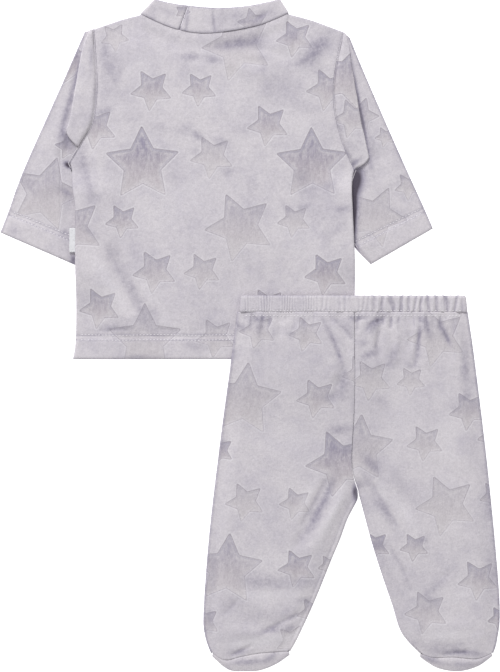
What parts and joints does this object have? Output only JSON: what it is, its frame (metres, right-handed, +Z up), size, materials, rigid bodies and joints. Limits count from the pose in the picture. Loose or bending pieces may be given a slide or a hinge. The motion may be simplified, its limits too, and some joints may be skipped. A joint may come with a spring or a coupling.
{
  "type": "two-piece footed baby sleepsuit",
  "caption": "Baby sleepsuit laid flat: a long-sleeved top with a stand collar, back up, and footed trousers with a gathered waist lying over its hem, in soft velour with star motifs.",
  "frame": {"origin": "on the surface, in the middle of the whole set", "axes": "+X across to the right as the set lies, +Y towards the collar, +Z up from the surface"},
  "size_m": [0.4495, 0.6046, 0.0114],
  "materials": {
    "velour": "soft pile, with stars in a shorter pile",
    "tape": "smooth woven tape"
  },
  "bodies": {
    "root": {"top_back": "velour", "top_front": "velour", "sleeve_left": "velour", "sleeve_right": "velour", "collar": "velour", "side_label": "tape", "waistband": "velour", "leg_left": "velour", "leg_right": "velour", "sole_left": "velour", "sole_right": "velour"}
  },
  "joints": []
}
